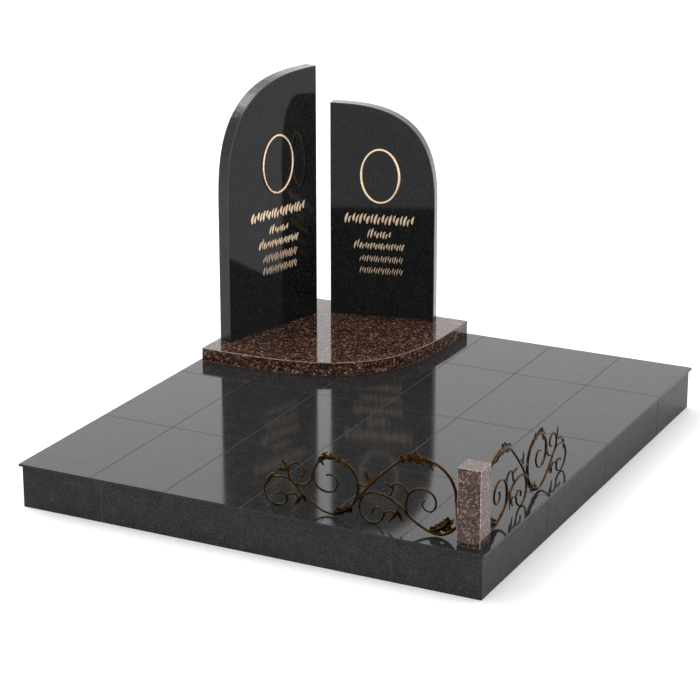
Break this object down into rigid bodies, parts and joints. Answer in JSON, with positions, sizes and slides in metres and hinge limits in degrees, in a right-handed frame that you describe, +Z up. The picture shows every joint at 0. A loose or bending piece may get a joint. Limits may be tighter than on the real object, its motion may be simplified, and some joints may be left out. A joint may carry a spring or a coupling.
{
  "type": "granite grave monument",
  "caption": "Grave monument of polished black granite: a tall and a low headstone with rounded shoulders on a bowed red pedestal, on a paved platform with a post and cast scroll panels",
  "frame": {"origin": "middle of the underside, on the ground", "axes": "+Z up, +Y from the open front of the platform to the back where the headstones stand, +X to the right as seen from the front"},
  "size_m": [1.92, 2.21, 1.3583],
  "materials": {
    "black_granite": "polished",
    "red_granite": "polished",
    "concrete": "as cast",
    "bronze": "dark cast bronze, rubbed on the high parts",
    "gold_bronze": "satin cast bronze"
  },
  "bodies": {
    "root": {"concrete_bed": "concrete", "front_cladding_slab_1": "black_granite", "front_cladding_slab_2": "black_granite", "front_cladding_slab_3": "black_granite", "front_cladding_slab_4": "black_granite", "right_cladding_slab_1": "black_granite", "right_cladding_slab_2": "black_granite", "right_cladding_slab_3": "black_granite", "right_cladding_slab_4": "black_granite", "back_cladding_slab_1": "black_granite", "back_cladding_slab_2": "black_granite", "back_cladding_slab_3": "black_granite", "back_cladding_slab_4": "black_granite", "left_cladding_slab_1": "black_granite", "left_cladding_slab_2": "black_granite", "left_cladding_slab_3": "black_granite", "left_cladding_slab_4": "black_granite", "paving_slab_1_1": "black_granite", "paving_slab_1_2": "black_granite", "paving_slab_1_3": "black_granite", "paving_slab_1_4": "black_granite", "paving_slab_1_5": "black_granite", "paving_slab_1_6": "black_granite", "paving_slab_2_1": "black_granite", "paving_slab_2_2": "black_granite", "paving_slab_2_3": "black_granite", "paving_slab_2_4": "black_granite", "paving_slab_2_5": "black_granite", "paving_slab_2_6": "black_granite", "paving_slab_3_1": "black_granite", "paving_slab_3_2": "black_granite", "paving_slab_3_3": "black_granite", "paving_slab_3_4": "black_granite", "paving_slab_3_5": "black_granite", "paving_slab_3_6": "black_granite", "paving_slab_4_1": "black_granite", "paving_slab_4_2": "black_granite", "paving_slab_4_3": "black_granite", "paving_slab_4_4": "black_granite", "paving_slab_4_5": "black_granite", "paving_slab_4_6": "black_granite", "pedestal": "red_granite", "tall_headstone": "black_granite", "tall_oval_frame": "gold_bronze", "low_headstone": "black_granite", "low_oval_frame": "gold_bronze", "corner_post": "red_granite", "front_scroll_panel": "bronze", "side_scroll_panel": "bronze"}
  },
  "joints": []
}
